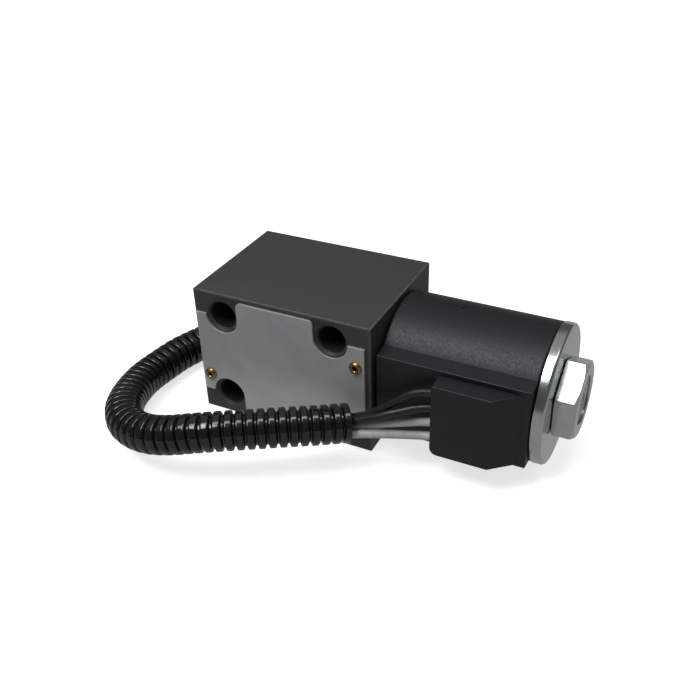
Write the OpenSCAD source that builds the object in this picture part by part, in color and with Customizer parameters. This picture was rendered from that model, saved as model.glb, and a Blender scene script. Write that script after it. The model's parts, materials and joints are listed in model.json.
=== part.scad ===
// Solenoid directional valve with a standard 4-port mounting face.
// +X runs along the spool from the plug end to the solenoid, +Y points out of the mounting
// face, and +Z is up as the valve lies on its side. The origin is on the mounting face, at the
// middle of the line between ports P and T, level with the spool axis. All sizes are in mm.

/* [Valve body] */
// Length of the body along the spool
body_length = 65; // [64:0.5:68]
// Height of the body as it lies
body_height = 47.5; // [47:0.5:52]
// Depth from the mounting face to the name plate face
body_depth = 48.5; // [48:0.5:52]
// Distance from the P and T ports to the plug end
plug_side = 32.25; // [32:0.25:34]
// Width of the small chamfer on every edge of the body
edge_chamfer = 0.2; // [0.1:0.1:1]

/* [Mounting bolts] */
// Radius of the clearance hole for an M5 bolt
bolt_r = 2.75; // [2.6:0.05:2.9]
// Radius of the counterbore for the bolt head
head_r = 4.75; // [4.6:0.05:5]
// Depth of the counterbore
head_depth = 13; // [8:0.5:14]
// Depth of the chamfer at the mouth of the counterbore
head_chamfer = 0.9; // [0.5:0.1:1.2]

/* [Ports] */
// Radius of each port
port_r = 3.75; // [3:0.05:3.75]
// Depth of the straight part of each port
port_depth = 11; // [10:0.5:12]
// Radius of the O-ring seat round each port
seat_r = 6.2; // [6:0.05:6.2]
// Depth of the O-ring seat
seat_depth = 1.3; // [1.2:0.05:1.4]

/* [Spool] */
// Radius of the spool bore
bore_r = 6; // [5.8:0.05:6.1]
// Running clearance between the spool and its bore
spool_gap = 0.03; // [0.02:0.01:0.06]
// Radius of the thin part of the spool between its lands
neck_r = 4; // [3:0.1:4.5]
// Radius of the annular chambers in the body
chamber_r = 8.5; // [8.2:0.1:8.8]
// Travel of the spool from the spring position to the energised one
stroke = 3; // [2.5:0.1:3]

/* [Solenoid] */
// Radius of the moulded coil
coil_r = 22.75; // [22:0.25:23]
// Length of the moulded coil
coil_length = 50.4; // [48:0.1:51]
// Thickness of the seal between the coil and the body
front_seal_t = 0.8; // [0.6:0.1:1]
// Outer radius of the core tube
tube_r = 9.5; // [9.2:0.1:9.6]
// Inner radius of the core tube
tube_bore = 8; // [7.8:0.1:8]
// Radius of the zinc-plated end washer
washer_r = 23; // [22.5:0.25:23.5]
// Thickness of the end washer
washer_t = 3.6; // [3:0.1:4]
// Distance across the flats of the retaining nut
nut_af = 24; // [23:0.5:25]
// Thickness of the retaining nut
nut_t = 6.7; // [6:0.1:7]
// Turn of the retaining nut about the spool axis
nut_turn = 26; // [0:1:60]

/* [Terminal box] */
// Distance from the coil's body end to the near side of the box
box_start = 21.2; // [18:0.1:23]
// Length of the box along the coil
box_length = 26.7; // [25:0.1:28]
// Half the height of the box
box_half = 12.85; // [12:0.05:13]
// Distance from the spool axis to the front of the box
box_front = 29.45; // [28:0.05:30]
// Distance from the spool axis to the flat pad on the coil
pad_front = 22.95; // [22.8:0.05:23.2]
// Half the height of the flat pad
pad_half = 14.05; // [13:0.05:15]

/* [Wiring] */
// Outer diameter of each lead wire
lead_d = 2.8; // [2.4:0.1:2.8]
// Outer diameter of the corrugated conduit
conduit_d = 13; // [12:0.1:13]

/* [Hidden] */

$fn = 96;
eps = 0.05;  // overshoot that keeps a cut from ending on a face
gap = 0.05;  // clearance between parts that are assembled one in another

// Standard hole positions on the mounting face, as [x, z]
bolt_holes = [[-21.5, -15.5], [-21.5, 15.5], [19, -16.25], [19, 16.25]];
port_p = [0, 10.4];
port_a = [-8.8, 0];
port_b = [8.7, 0];
port_t = [0, -10.4];
ports = [port_p, port_a, port_b, port_t];
oring_r = 5.2;        // O-ring of a port: middle of its section, and the section itself
oring_section = 0.89;
passage_r = 3;        // drilled passage from a port to its chamber
passage_overrun = 3;  // how far the P passage runs past the spool axis
gallery_r = 2.5;      // cast gallery that joins the two tank chambers
gallery_y = -14;
gallery_z = -9.6;

axis_y = -body_depth / 2;
plug_x = -plug_side;                  // plug end of the body
solenoid_x = body_length - plug_side; // solenoid end of the body

// Chambers along the bore: tank, A, P, B, tank
tank_x = 17.4;
chambers = [-tank_x, port_a[0], 0, port_b[0], tank_x];
chamber_half = 2.2;
plug_cavity_x = plug_x + 9.85;  // shoulder where the spring seat stops
plug_cavity_r = 9.5;
tube_cavity_x = solenoid_x - 8.25;
tube_cavity_r = 10;

// Spool at rest, and the parts that move with it
spool_end = tube_cavity_x - 0.1;
spool_r = bore_r - spool_gap;
land_a = [-9.45, -5.05];
land_b = [8, 12.4];
plug_land = plug_cavity_x + 5.4;
tube_land = spool_end - 5;

// End plug and its spring
plug_head_t = 5;
plug_head_af = 22;
plug_face_r = 10.6;     // flat part of the head's outer face
plug_head_r = 13;       // just past the corners of the head
plug_chamfer = 1.4;
plug_end = plug_x + 8.25;
plug_groove = [plug_x + 0.8, plug_x + 2.8];
plug_groove_r = 7.9;
plug_oring_section = 0.75;
cup_r = 6.9;
cup_floor = plug_x - 1.3;
spring_r = 4.9;
wire_r = 0.55;
spring_turns = 4;
steps_per_turn = 16;
seat_flange_r = 6.4;
seat_flange_t = 1.4;
seat_nose = [4.1, 3.7]; // radii of the nose that centres the spring
seat_length = 3.6;

// Solenoid stations along X
coil_x = solenoid_x + front_seal_t;
coil_end = coil_x + coil_length;
washer_end = coil_end + washer_t;
nut_seal_t = 0.5;
nut_x = washer_end + nut_seal_t;
nut_end = nut_x + nut_t;
pole_x = solenoid_x - 7.55;
pole_groove = [solenoid_x - 4.15, solenoid_x - 2.15];
pole_groove_r = 8.4;
pole_oring_section = 0.74;
pole_face = coil_x + 16.65;
antistick_gap = 0.1;    // air gap left when the armature is fully in
armature_x = pole_face + stroke + antistick_gap;
tube_floor = coil_end - 1.05;
armature_end = tube_floor - 0.3;
vent_place = 4.8;       // oil passages through the armature, off its axis
vent_r = 1;
tube_shoulder = washer_end + 0.45;
tube_tip = nut_end - 0.6;
thread_r = 7.95;
thread_chamfer = 0.6;
rod_r = 1.6;
rod_play = 0.01;        // the rod's ends touch its neighbours but for this
yoke_r = 20.5;
yoke_bore = 18.5;
yoke_x = coil_x + 2.45;
yoke_floor = 2.6;
winding_r = 17.6;
bobbin_x = yoke_x + yoke_floor + 0.1;
bobbin_end = coil_end - 0.35;
hub_r = 10.9;
flange_t = 1.8;
flange_r = yoke_bore - 0.2;
coil_bore = tube_r + 0.1;
coil_round = 0.8;       // rounding of the coil's two rims
front_seal_r = 20;
washer_round = 1;
nut_seal_r = 11.5;
nut_face_r = nut_af / 2 - 0.3;              // flat part of the nut's outer face
nut_corner_r = nut_af / 2 / cos(30) + 0.2;  // just past its corners
nut_chamfer = 1.1;
bore_play = 0.2;        // clearance of the washer and seal on the tube

// Override pin: its collar, and the groove for its seal in the tube's end
pin_r = 1.95;
pin_tip_chamfer = 0.4;
collar_r = 3.2;
collar_x = [tube_floor + 3.3, tube_floor + 4.9];
collar_room = 5;        // depth of the recess that the collar slides in
pin_groove = [tube_tip - 4.65, tube_tip - 3.15];
pin_groove_r = 3.05;
pin_oring_section = 0.5;

// Name plate and rivets, as [x, z]
plate_t = 0.8;
plate_x = [-31.45, 30.85];
plate_half = 22.15;
notch_r = 6.1;
plate_corner = 1.7;
rivets = [[-28.35, -8.85], [27.85, 8.85]];
rivet_hole = 1.25;
rivet_bore = 0.75;
rivet_shank = 4.5;

// Leads start just inside the near side of the box, and end just inside the conduit
black_upper_route = [
    [55, -50.7, 8.3], [51, -50.9, 7.4], [47.8, -51.5, 6.3], [44.2, -52.5, 3.8],
    [40, -53.5, 0.3], [36.5, -54, -2.5], [33, -54.3, -4.6], [29.5, -54.6, -6.2],
    [26, -55.3, -6.9]
];
black_lower_route = [
    [55, -50.7, 2.8], [51.5, -51.2, 2], [48, -52.8, 1.4], [45, -54.2, 0.5],
    [42, -55.5, -0.4], [38.5, -56.5, -2], [35, -57, -3.5], [31.5, -57.6, -4.9],
    [28.2, -58.1, -5.8]
];
white_upper_route = [
    [55, -50.7, -2.9], [51.5, -50.9, -3.5], [48, -51.8, -4.1], [43.5, -53.4, -4.7],
    [40, -54.2, -5.5], [35.5, -55, -6.9], [31, -56, -8.2], [27, -57, -8.9]
];
white_lower_route = [
    [55, -50.7, -8.3], [51.5, -51.2, -8.7], [48, -52.4, -8.8], [45, -53.8, -8.6],
    [38.5, -56.3, -8.7], [34.5, -57.5, -9.1], [31.5, -58.4, -9.5], [28.8, -59.3, -9.4]
];
conduit_route = [
    [28.3, -56.8, -7.3], [21, -62.8, -6.3], [13, -68.3, -5.7], [4, -74, -5.4],
    [-4.5, -79, -5.4], [-12, -82.5, -6.1], [-20, -85, -7.7], [-27, -85.8, -9.1],
    [-34, -84.4, -10.6], [-40.5, -81.3, -11.7], [-46.3, -75.7, -12.8], [-50.4, -69.5, -14.1],
    [-53.2, -62.8, -15.2], [-55.3, -55.5, -16.3], [-56, -48.8, -17], [-55.3, -41.5, -17.1],
    [-54.2, -34, -17.1], [-51.5, -25.5, -17.1], [-48, -17, -17.1], [-44.8, -8, -17.1],
    [-43, 1.5, -17], [-42.5, 12, -16.5], [-42.5, 23, -16.2], [-42.5, 33, -16.2]
];

// Connector on the far end of the conduit, as it lies behind the body
plug_axis = [-42.5, -16.2];       // x and z of its axis
plug_y = [29.5, 55.5];            // its conduit end and its mating end
shell_y = 34.5;                   // where the square shell starts
shell_size = [20, 14];
shell_chamfer = 1;
collar_d = 14.6;
mouth_depth = 8;                  // socket that takes the conduit and the grommet
grommet_y = plug_y[0] + 4;
grommet_t = 3.5;
lead_spread = 0.6;                // how much closer the leads are than the cavities
terminal_y = plug_y[0] + 9;
terminal_r = 1.5;
terminal_bore = 0.8;
terminal_long = 15.5;
barrel_start = 6;                 // where a terminal's hollow barrel begins
cavity_r = 1.55;
cavities = [[-5, -3.2], [-5, 3.2], [5, -3.2], [5, 3.2]];
lock_size = [6, 8, 4];            // slot in the mating end, and the lock that sits in it
lock_proud = 0.4;

// ---------- Shared shapes ----------

// Moves a shape whose axis is +Z onto the spool axis, starting at x
module along_spool(x)
    translate([x, axis_y, 0]) rotate([0, 90, 0]) children();

// Straight round bar on the spool axis between two stations
module bar(x, r)
    along_spool(x[0]) cylinder(h = x[1] - x[0], r = r);

// Round tube on the spool axis between two stations
module sleeve(x, r_out, r_in)
    along_spool(x[0]) difference() {
        cylinder(h = x[1] - x[0], r = r_out);
        translate([0, 0, -eps]) cylinder(h = x[1] - x[0] + 2 * eps, r = r_in);
    }

// Body of revolution about the spool axis, from points given as [radius, x]
module turned(profile)
    along_spool(0) rotate_extrude() polygon(profile);

// Ring of round section in a groove about the spool axis, midway between two stations and radii
module oring(x, r, section_r)
    along_spool((x[0] + x[1]) / 2) rotate_extrude()
        translate([(r[0] + r[1]) / 2, 0]) circle(r = section_r, $fn = 32);

// Rounded corner of a turned outline at a rim of radius r; way is the side that the part is on
function rim(r, x, size, way) = [
    [r - size, x], [r - 0.3 * size, x + way * 0.3 * size], [r, x + way * size]
];
function reversed(list) = [for (k = [len(list) - 1 : -1 : 0]) list[k]];

// Places a shape whose axis is +Z so that it points along +Y from [x, y, z]
module towards_face(at, y)
    translate([at[0], y, at[1]]) rotate([-90, 0, 0]) children();

// Rectangle with cut corners, centred
module cut_rectangle(w, h, c)
    polygon([
        [w / 2 - c, -h / 2], [w / 2, -h / 2 + c], [w / 2, h / 2 - c], [w / 2 - c, h / 2],
        [-w / 2 + c, h / 2], [-w / 2, h / 2 - c], [-w / 2, -h / 2 + c], [-w / 2 + c, -h / 2]
    ]);

// Block with a chamfer on all twelve edges, centred
module chamfered_block(size, c)
    intersection() {
        linear_extrude(size[2], center = true) cut_rectangle(size[0], size[1], c);
        rotate([90, 0, 0]) linear_extrude(size[1], center = true)
            cut_rectangle(size[0], size[2], c);
        rotate([0, 90, 0]) linear_extrude(size[0], center = true)
            cut_rectangle(size[2], size[1], c);
    }

// Hexagonal prism about +Z with a corner on +X
module hexagon(af, h)
    cylinder(h = h, r = af / 2 / cos(30), $fn = 6);

// ---------- Sweeping a tube along a route ----------

function unit(v) = v / norm(v);

// Point on the smooth curve through p[1] and p[2], a share t of the way
function curve_point(p, t) =
    (2 * p[1] + (p[2] - p[0]) * t + (2 * p[0] - 5 * p[1] + 4 * p[2] - p[3]) * t * t
        + (3 * p[1] - p[0] - 3 * p[2] + p[3]) * t * t * t) / 2;

// Route point i, continued straight past either end
function route_point(route, i) =
    i < 0 ? 2 * route[0] - route[1]
    : i >= len(route) ? 2 * route[len(route) - 1] - route[len(route) - 2]
    : route[i];

// Smooth line through a route, with a number of steps between its points
function smooth_line(route, steps) = concat(
    [for (i = [0 : len(route) - 2]) for (k = [0 : steps - 1])
        curve_point([for (j = [-1 : 2]) route_point(route, i + j)], k / steps)],
    [route[len(route) - 1]]
);

// Direction of a line at point i
function heading(line, i) =
    unit(line[min(i + 1, len(line) - 1)] - line[max(i - 1, 0)]);

// Ring of points round a line at point i; "across" is never along the line
function ring(line, i, r, sides, across) =
    let (ahead = heading(line, i), side = unit(cross(ahead, across)), up = cross(side, ahead))
    [for (k = [0 : sides - 1]) line[i] + r * (cos(360 * k / sides) * side
        + sin(360 * k / sides) * up)];

// Closed tube along a line, as one polyhedron
module tube_along(line, r, sides, across = [0, 0, 1]) {
    rings = len(line);
    points = [for (i = [0 : rings - 1]) each ring(line, i, r, sides, across)];
    walls = [for (i = [0 : rings - 2]) for (k = [0 : sides - 1])
        let (a = i * sides + k, b = i * sides + (k + 1) % sides)
        each [[a, a + sides, b], [b, a + sides, b + sides]]];
    near_cap = [for (k = [0 : sides - 1]) k];
    far_cap = [for (k = [sides - 1 : -1 : 0]) (rings - 1) * sides + k];
    polyhedron(points, concat(walls, [near_cap, far_cap]));
}

// ---------- Valve body and its trim ----------

module bolt_hole(at) {
    towards_face(at, -body_depth - eps) cylinder(h = body_depth + 2 * eps, r = bolt_r);
    towards_face(at, -body_depth - eps) cylinder(h = head_depth + eps, r = head_r);
    towards_face(at, -body_depth)
        cylinder(h = head_chamfer, r1 = head_r + head_chamfer, r2 = head_r);
}

// Port, its O-ring seat and its passage down to the given depth
module port_hole(at, depth) {
    towards_face(at, -seat_depth) cylinder(h = seat_depth + eps, r = seat_r);
    towards_face(at, -port_depth) cylinder(h = port_depth + eps, r = port_r);
    towards_face(at, -depth) cylinder(h = depth, r = passage_r);
}

// Gallery from the tank port to the two tank chambers
module tank_gallery() {
    translate([-tank_x, gallery_y, gallery_z]) rotate([0, 90, 0])
        cylinder(h = 2 * tank_x, r = gallery_r);
    for (x = [-tank_x, tank_x])
        towards_face([x, gallery_z], axis_y) cylinder(h = gallery_y - axis_y, r = gallery_r);
}

module valve_body()
    color("#3f3f3b") difference() {
        translate([plug_x + body_length / 2, axis_y, 0])
            chamfered_block([body_length, body_depth, body_height], edge_chamfer);
        for (at = bolt_holes) bolt_hole(at);
        port_hole(port_p, -axis_y + passage_overrun);
        port_hole(port_a, -axis_y);
        port_hole(port_b, -axis_y);
        port_hole(port_t, -gallery_y + gallery_r);
        tank_gallery();
        bar([plug_cavity_x - eps, tube_cavity_x + eps], bore_r);
        for (x = chambers) bar([x - chamber_half, x + chamber_half], chamber_r);
        bar([plug_x - eps, plug_cavity_x], plug_cavity_r);
        bar([tube_cavity_x, solenoid_x + eps], tube_cavity_r);
        for (at = rivets)
            towards_face(at, -body_depth - eps) cylinder(h = rivet_shank + 1.5, r = rivet_hole);
    }

// Cut that opens a corner of the plate round a bolt hole, with the corner left rounded
module corner_notch(at) {
    out = [sign(at[0]), sign(at[1])];
    reach = 20;
    translate(at) circle(r = notch_r);
    translate(at) scale([out[0], out[1]]) translate([-notch_r, 0]) square(reach);
    translate([at[0] - out[0] * notch_r, out[1] * plate_half]) scale([-out[0], -out[1]])
        difference() {
            translate([-eps, -eps]) square(plate_corner + eps);
            translate([plate_corner, plate_corner]) circle(r = plate_corner);
        }
}

module name_plate()
    color("#8c8c8a") translate([0, -body_depth, 0]) rotate([90, 0, 0])
        linear_extrude(plate_t) difference() {
            translate([plate_x[0], -plate_half])
                square([plate_x[1] - plate_x[0], 2 * plate_half]);
            for (at = bolt_holes) corner_notch(at);
            for (at = rivets) translate(at) circle(r = rivet_hole);
        }

// Hollow rivets: a shank in the body and a rolled head on the plate
module plate_rivets()
    color("#b08a3e") for (at = rivets)
        towards_face(at, -body_depth - plate_t) rotate_extrude()
            polygon([
                [rivet_bore, -1], [1.2, -1.05], [1.7, -0.95], [2.1, -0.55], [2.2, -0.02],
                [rivet_hole - 0.02, -0.02], [rivet_hole - 0.02, plate_t + rivet_shank],
                [rivet_bore, plate_t + rivet_shank]
            ]);

// Seals in the four port seats, flattened as they are when the valve is bolted down
module port_orings()
    color("#1c1c1c") for (at = ports)
        towards_face(at, -seat_depth / 2) rotate_extrude() translate([oring_r, 0])
            intersection() {
                circle(r = oring_section, $fn = 32);
                square([2, seat_depth - 0.04], center = true);
            }

// ---------- Spool, spring and end plug ----------

module spool()
    color("#a4a6a8") turned([
        [0, plug_cavity_x], [spool_r, plug_cavity_x], [spool_r, plug_land], [neck_r, plug_land],
        [neck_r, land_a[0]], [spool_r, land_a[0]], [spool_r, land_a[1]], [neck_r, land_a[1]],
        [neck_r, land_b[0]], [spool_r, land_b[0]], [spool_r, land_b[1]], [neck_r, land_b[1]],
        [neck_r, tube_land], [spool_r, tube_land], [spool_r, spool_end], [0, spool_end]
    ]);

module spring_seat()
    color("#9a9c9e") turned([
        [0, plug_cavity_x], [seat_flange_r, plug_cavity_x],
        [seat_flange_r, plug_cavity_x - seat_flange_t],
        [seat_nose[0], plug_cavity_x - seat_flange_t],
        [seat_nose[1], plug_cavity_x - seat_length], [0, plug_cavity_x - seat_length]
    ]);

module return_spring() {
    start = cup_floor + wire_r + gap;
    long = plug_cavity_x - seat_flange_t - wire_r - gap - start;
    steps = steps_per_turn * spring_turns;
    coil_line = [for (k = [0 : steps]) let (a = 360 * k / steps_per_turn)
        [start + long * k / steps, axis_y + spring_r * cos(a), spring_r * sin(a)]];
    color("#b9bbbd") tube_along(coil_line, wire_r, 8, [1, 0, 0]);
}

module end_plug()
    color("#8f9498") difference() {
        union() {
            intersection() {
                along_spool(plug_x - plug_head_t) hexagon(plug_head_af, plug_head_t);
                turned([
                    [0, plug_x - plug_head_t], [plug_face_r, plug_x - plug_head_t],
                    [plug_head_r, plug_x - plug_head_t + plug_chamfer],
                    [plug_head_r, plug_x], [0, plug_x]
                ]);
            }
            bar([plug_x - eps, plug_end], plug_cavity_r - gap);
        }
        bar([cup_floor, plug_end + eps], cup_r);
        sleeve(plug_groove, plug_cavity_r + 1, plug_groove_r);
    }

module end_plug_oring()
    color("#1c1c1c") oring(plug_groove, [plug_groove_r, plug_cavity_r], plug_oring_section);

// ---------- Core tube and what moves in it ----------

module pole_piece()
    color("#8d9093") difference() {
        turned([
            [0, pole_x], [tube_cavity_r - gap, pole_x], [tube_cavity_r - gap, pole_groove[0]],
            [pole_groove_r, pole_groove[0]], [pole_groove_r, pole_groove[1]],
            [tube_cavity_r - gap, pole_groove[1]], [tube_cavity_r - gap, solenoid_x - 0.2],
            [tube_bore - gap, solenoid_x - 0.2], [tube_bore - gap, pole_face], [0, pole_face]
        ]);
        bar([pole_x - eps, pole_face + eps], rod_r + gap);
    }

module tube_oring()
    color("#1c1c1c") oring(pole_groove, [pole_groove_r, tube_cavity_r], pole_oring_section);

// Tube with a closed threaded end for the nut and a hole for the override pin
module core_tube()
    color("#9b9ea1") difference() {
        turned([
            [0, solenoid_x - 0.15], [tube_r, solenoid_x - 0.15], [tube_r, tube_shoulder],
            [thread_r, tube_shoulder], [thread_r, tube_tip - thread_chamfer],
            [thread_r - thread_chamfer, tube_tip], [0, tube_tip]
        ]);
        bar([solenoid_x - 1, tube_floor], tube_bore);
        bar([tube_floor - eps, tube_tip + eps], pin_r + gap);
        bar([tube_floor - eps, tube_floor + collar_room], collar_r + 0.2);
        bar(pin_groove, pin_groove_r);
    }

module armature()
    color("#85888b") difference() {
        bar([armature_x, armature_end], tube_bore - gap);
        for (side = [-1, 1])
            translate([0, side * vent_place, 0])
                bar([armature_x - eps, armature_end + eps], vent_r);
    }

module push_rod()
    color("#b4b6b8") bar([spool_end + rod_play, armature_x - rod_play], rod_r);

module override_pin()
    color("#b08a3e") turned([
        [0, armature_end + 0.02], [pin_r, armature_end + 0.02], [pin_r, collar_x[0]],
        [collar_r, collar_x[0]], [collar_r, collar_x[1]], [pin_r, collar_x[1]],
        [pin_r, tube_tip - 0.1 - pin_tip_chamfer], [pin_r - pin_tip_chamfer, tube_tip - 0.1],
        [0, tube_tip - 0.1]
    ]);

module override_oring()
    color("#1c1c1c") oring(pin_groove, [pin_r, pin_groove_r], pin_oring_section);

// ---------- Coil ----------

module coil_bobbin()
    color("#d8d3c4") turned([
        [coil_bore, bobbin_x], [flange_r, bobbin_x], [flange_r, bobbin_x + flange_t],
        [hub_r, bobbin_x + flange_t], [hub_r, bobbin_end - flange_t],
        [flange_r, bobbin_end - flange_t], [flange_r, bobbin_end], [coil_bore, bobbin_end]
    ]);

module coil_winding()
    color("#b4652d")
        sleeve(
            [bobbin_x + flange_t + gap, bobbin_end - flange_t - gap], winding_r, hub_r + gap
        );

// Steel can round the winding; the end washer closes its far end
module coil_yoke()
    color("#7d8083") turned([
        [coil_bore, yoke_x], [yoke_r, yoke_x], [yoke_r, coil_end - gap],
        [yoke_bore, coil_end - gap], [yoke_bore, yoke_x + yoke_floor],
        [coil_bore, yoke_x + yoke_floor]
    ]);

// Terminal box: its plan, with one corner cut off, by its front outline, with one round corner
module terminal_box() {
    left = coil_x + box_start;
    right = left + box_length;
    front = axis_y - box_front;
    round_r = 2.5;
    edge = 0.4;
    cut = 7.9;
    lowered = 0.4; // the box sits slightly low on the coil
    translate([0, 0, -lowered]) intersection() {
        translate([0, 0, -box_half]) linear_extrude(2 * box_half) polygon([
            [left, axis_y], [left, front + edge], [left + edge, front], [right - cut, front],
            [right, axis_y - pad_front + 0.15], [right, axis_y]
        ]);
        rotate([90, 0, 0]) linear_extrude(2 * body_depth) union() {
            translate([left, -box_half + round_r]) square([box_length, 2 * box_half - round_r]);
            translate([left + round_r, -box_half]) square([box_length - round_r, round_r]);
            translate([left + round_r, -box_half + round_r]) circle(r = round_r);
        }
    }
}

module coil_housing()
    color("#2c2d2f") difference() {
        union() {
            turned([
                [0, coil_x], each rim(coil_r, coil_x, coil_round, 1),
                each reversed(rim(coil_r, coil_end, coil_round, -1)), [0, coil_end]
            ]);
            terminal_box();
            translate([coil_x + coil_round / 2, axis_y - pad_front, -pad_half])
                cube([coil_length - coil_round, pad_front, 2 * pad_half]);
        }
        bar([coil_x - eps, yoke_x], coil_bore);
        bar([yoke_x - gap, coil_end + eps], yoke_r + gap);
    }

module coil_front_seal()
    color("#1a1a1a") sleeve([solenoid_x, coil_x], front_seal_r, tube_cavity_r + bore_play);

// ---------- Washer and nut ----------

module end_washer()
    color("#a9adab") turned([
        [tube_r + bore_play, coil_end], [washer_r, coil_end],
        each reversed(rim(washer_r, washer_end, washer_round, -1)),
        [tube_r + bore_play, washer_end]
    ]);

module nut_seal()
    color("#161616") sleeve([washer_end, nut_x], nut_seal_r, tube_r + bore_play);

module retaining_nut()
    color("#a3a7a4") difference() {
        intersection() {
            along_spool(nut_x) rotate([0, 0, 90 - nut_turn]) hexagon(nut_af, nut_t);
            turned([
                [0, nut_x], [nut_corner_r - 1, nut_x], [nut_corner_r, nut_x + 0.6],
                [nut_corner_r, nut_end - nut_chamfer], [nut_face_r, nut_end], [0, nut_end]
            ]);
        }
        bar([nut_x - eps, nut_end + eps], thread_r + gap);
    }

// ---------- Wiring ----------

module lead(route, shade)
    color(shade) tube_along(smooth_line(route, 2), lead_d / 2, 8);

module black_lead_upper() lead(black_upper_route, "#191919");

module black_lead_lower() lead(black_lower_route, "#191919");

module white_lead_upper() lead(white_upper_route, "#b4b4b0");

module white_lead_lower() lead(white_lower_route, "#b4b4b0");

module conduit()
    color("#141414") tube_along(smooth_line(conduit_route, 2), conduit_d / 2, 12);

// Moves a shape drawn about +Z so that it points along +Y on the connector's axis
module on_plug(y)
    towards_face(plug_axis, y) children();

// Moves a shape to the corner of the lock's slot, with a clearance on each side
module lock_place(play)
    translate([
        plug_axis[0] - lock_size[0] / 2 + play, plug_y[1] - lock_size[1] + play,
        plug_axis[1] - lock_size[2] / 2 + play
    ]) children();

module connector_housing() {
    shell_long = plug_y[1] - shell_y;
    color("#26272a") difference() {
        union() {
            on_plug(plug_y[0]) cylinder(h = shell_y - plug_y[0] + 1, d = collar_d);
            translate([plug_axis[0], shell_y + shell_long / 2, plug_axis[1]])
                chamfered_block([shell_size[0], shell_long, shell_size[1]], shell_chamfer);
        }
        on_plug(plug_y[0] - eps) cylinder(h = mouth_depth, d = conduit_d + 0.2);
        for (at = cavities)
            towards_face(plug_axis + at, plug_y[0] + mouth_depth - 1)
                cylinder(h = plug_y[1] - plug_y[0], r = cavity_r);
        lock_place(0) cube([lock_size[0], lock_size[1] + 1, lock_size[2]]);
    }
}

// Grommet behind the terminals, with a hole for each lead
module connector_seal()
    color("#8a3b2a") on_plug(grommet_y) difference() {
        cylinder(h = grommet_t, d = conduit_d + 0.1);
        for (at = cavities)
            translate([at[0] * lead_spread, -at[1], -eps])
                cylinder(h = grommet_t + 2 * eps, r = lead_d / 2);
    }

module connector_terminals()
    color("#c0a35e") for (at = cavities)
        towards_face(plug_axis + at, terminal_y) difference() {
            cylinder(h = terminal_long, r = terminal_r);
            translate([0, 0, barrel_start]) cylinder(h = terminal_long, r = terminal_bore);
        }

module terminal_lock()
    color("#c9762e") lock_place(gap)
        cube([lock_size[0] - 2 * gap, lock_size[1] + lock_proud - gap, lock_size[2] - 2 * gap]);

valve_body();
name_plate();
plate_rivets();
port_orings();
spool();
spring_seat();
return_spring();
end_plug();
end_plug_oring();
pole_piece();
tube_oring();
core_tube();
armature();
push_rod();
override_pin();
override_oring();
coil_bobbin();
coil_winding();
coil_yoke();
coil_housing();
coil_front_seal();
end_washer();
nut_seal();
retaining_nut();
black_lead_upper();
black_lead_lower();
white_lead_upper();
white_lead_lower();
conduit();
connector_housing();
connector_seal();
connector_terminals();
terminal_lock();
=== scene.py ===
"""The looks of the solenoid directional valve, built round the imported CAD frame.

Everything is in metres in the CAD frame: +X along the spool towards the solenoid, +Y out of the
mounting face, +Z up. Sizes in the tables below are in millimetres and go through MM.
"""
import json
import math
from contextlib import contextmanager

import bmesh
import bpy
import numpy as np
from mathutils import Euler, Matrix, Vector

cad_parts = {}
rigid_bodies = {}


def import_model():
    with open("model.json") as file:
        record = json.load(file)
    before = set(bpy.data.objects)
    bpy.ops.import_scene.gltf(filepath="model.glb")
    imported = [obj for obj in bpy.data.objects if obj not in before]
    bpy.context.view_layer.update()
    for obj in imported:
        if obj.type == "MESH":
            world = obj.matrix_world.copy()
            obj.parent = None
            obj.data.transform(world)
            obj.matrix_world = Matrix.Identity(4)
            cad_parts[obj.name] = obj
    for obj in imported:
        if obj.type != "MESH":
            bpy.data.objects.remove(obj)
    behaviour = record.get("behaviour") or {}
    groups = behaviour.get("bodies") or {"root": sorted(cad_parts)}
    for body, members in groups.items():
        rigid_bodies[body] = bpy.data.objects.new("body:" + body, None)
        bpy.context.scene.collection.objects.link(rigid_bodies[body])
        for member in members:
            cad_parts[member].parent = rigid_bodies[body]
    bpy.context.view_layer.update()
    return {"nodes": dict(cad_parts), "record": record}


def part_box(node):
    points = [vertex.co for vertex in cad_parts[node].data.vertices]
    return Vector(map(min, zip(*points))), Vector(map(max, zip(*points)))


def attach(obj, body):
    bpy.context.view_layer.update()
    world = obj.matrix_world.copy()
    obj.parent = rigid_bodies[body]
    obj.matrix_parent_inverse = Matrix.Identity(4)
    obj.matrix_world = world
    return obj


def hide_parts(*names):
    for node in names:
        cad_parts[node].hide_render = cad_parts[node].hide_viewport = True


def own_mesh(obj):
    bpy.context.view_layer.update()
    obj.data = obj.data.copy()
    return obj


for leftover in list(bpy.data.objects):
    bpy.data.objects.remove(leftover)
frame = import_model()

MM = 0.001
AXIS_Y = -24.25          # the spool axis, in mm
FLOOR_Z = -23.75
BODY_X = (-32.25, 32.75)
NODES = frame["nodes"]


# ---------- Shader helpers ----------

class Nodes:
    """The node tree of a material or world, with short calls that build it."""

    def __init__(self, owner):
        owner.use_nodes = True
        self.tree = owner.node_tree

    def add(self, kind, **settings):
        """A new node with its settings."""
        node = self.tree.nodes.new(kind)
        for key, value in settings.items():
            setattr(node, key, value)
        return node

    def put(self, socket, value):
        """Links a socket to another node's output, or gives it a constant."""
        if isinstance(value, bpy.types.NodeSocket):
            self.tree.links.new(value, socket)
        else:
            socket.default_value = value

    def math(self, operation, a, b=0.0, clamp=False):
        node = self.add("ShaderNodeMath", operation=operation, use_clamp=clamp)
        self.put(node.inputs[0], a)
        self.put(node.inputs[1], b)
        return node.outputs[0]


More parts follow.
